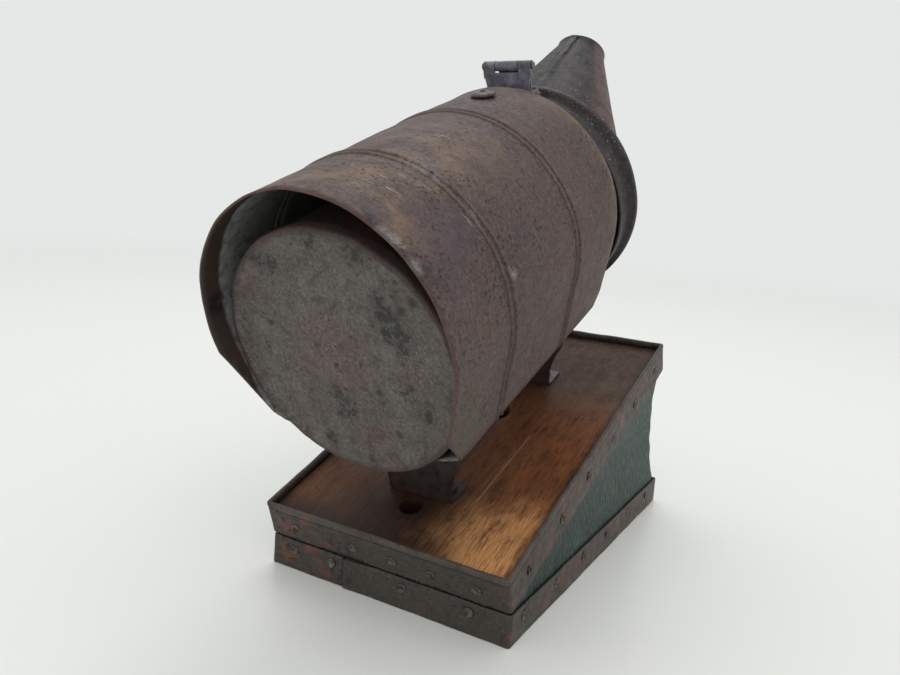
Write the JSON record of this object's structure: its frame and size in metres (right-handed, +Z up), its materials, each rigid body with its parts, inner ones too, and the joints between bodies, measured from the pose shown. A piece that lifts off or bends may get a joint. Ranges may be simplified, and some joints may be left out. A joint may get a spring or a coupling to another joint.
{
  "type": "bee smoker",
  "caption": "Bee smoker: round fire pot with hinged cone lid and sheet heat shield, held by brackets over a wedge bellows of two boards and a leather cover.",
  "frame": {"origin": "centre of the flat underside of the back board, which the smoker lies on", "axes": "+Z up out of the back board; +Y towards the open end of the bellows and the smoke nozzle, -Y towards the closed end; +X to the right seen from the closed end"},
  "size_m": [0.1236, 0.2614, 0.2597],
  "materials": {
    "wood": "varnished pine or fir, worn bright in places and scorched dark near the air hole",
    "tin_band": "patinated tinplate with rust",
    "cover": "pebbled green leathercloth",
    "flap": "plain brown leather",
    "fire_pot": "fire-browned, tarred sheet steel",
    "galvanised": "mottled galvanised sheet, smoke stained",
    "heat_shield": "rust-brown sheet steel with dark pits",
    "lid": "blackened sheet steel with rust streaks",
    "steel": "dull steel wire",
    "dark_iron": "dark iron with worn bright edges"
  },
  "bodies": {
    "back": {"lower_edge_band": "tin_band", "lower_end_tack_1": "dark_iron", "lower_end_tack_2": "dark_iron", "lower_end_tack_3": "dark_iron", "lower_end_tack_4": "dark_iron", "lower_side_tack_1": "dark_iron", "lower_side_tack_2": "dark_iron", "lower_side_tack_3": "dark_iron", "lower_side_tack_4": "dark_iron", "lower_side_tack_5": "dark_iron", "lower_side_tack_6": "dark_iron", "back_board": "wood", "bellows_cover": "cover", "bellows_spring": "steel"},
    "front": {"bracket_screw_1": "dark_iron", "bracket_screw_2": "dark_iron", "bracket_screw_3": "dark_iron", "bracket_screw_4": "dark_iron", "far_bracket": "dark_iron", "far_bracket_rivet": "dark_iron", "fire_pot_base": "galvanised", "fire_pot_body": "fire_pot", "fixed_leaf_rivet_left": "dark_iron", "fixed_leaf_rivet_right": "dark_iron", "flap_strip": "flap", "flap_strip_tack_left": "dark_iron", "flap_strip_tack_right": "dark_iron", "front_board": "wood", "heat_shield": "heat_shield", "hinge_fixed_leaf": "dark_iron", "hinge_pin": "steel", "near_bracket": "dark_iron", "near_bracket_rivet": "dark_iron", "shield_bolt": "dark_iron", "shield_nut": "dark_iron", "shield_spacer": "dark_iron", "upper_edge_band": "tin_band", "upper_end_tack_1": "dark_iron", "upper_end_tack_2": "dark_iron", "upper_end_tack_3": "dark_iron", "upper_end_tack_4": "dark_iron", "upper_end_tack_5": "dark_iron", "upper_side_tack_1": "dark_iron", "upper_side_tack_2": "dark_iron", "upper_side_tack_3": "dark_iron", "upper_side_tack_4": "dark_iron", "upper_side_tack_5": "dark_iron", "upper_side_tack_6": "dark_iron"},
    "lid": {"lid_collar": "lid", "nozzle_cone": "lid", "hinge_lid_leaf": "dark_iron", "lid_leaf_rivet_left": "dark_iron", "lid_leaf_rivet_right": "dark_iron"},
    "grate": {"grate": "galvanised"},
    "flap": {"intake_flap": "flap"}
  },
  "joints": [
    {"name": "bellows_squeeze", "type": "hinge", "parent": "back", "child": "front", "pos_m": [0, -0.098, 0.0145], "axis": [-1, 0, 0], "range_deg": [0, 17], "stiffness_Nm_per_rad": 3, "springref_deg": -28.65, "deforming": ["bellows_cover", "bellows_spring"]},
    {"name": "lid_hinge", "type": "hinge", "parent": "front", "child": "lid", "pos_m": [0, -0.01578, 0.23153], "axis": [1, 0, 0], "range_deg": [0, 115]},
    {"name": "grate_slide", "type": "slide", "parent": "front", "child": "grate", "axis": [0, 0.9259, 0.3778], "range_m": [0, 0.08]},
    {"name": "intake_flap_hinge", "type": "hinge", "parent": "front", "child": "flap", "pos_m": [0, -0.00984, 0.04712], "axis": [-1, 0, 0], "range_deg": [0, 12], "stiffness_Nm_per_rad": 0.004, "springref_deg": -22.92}
  ]
}
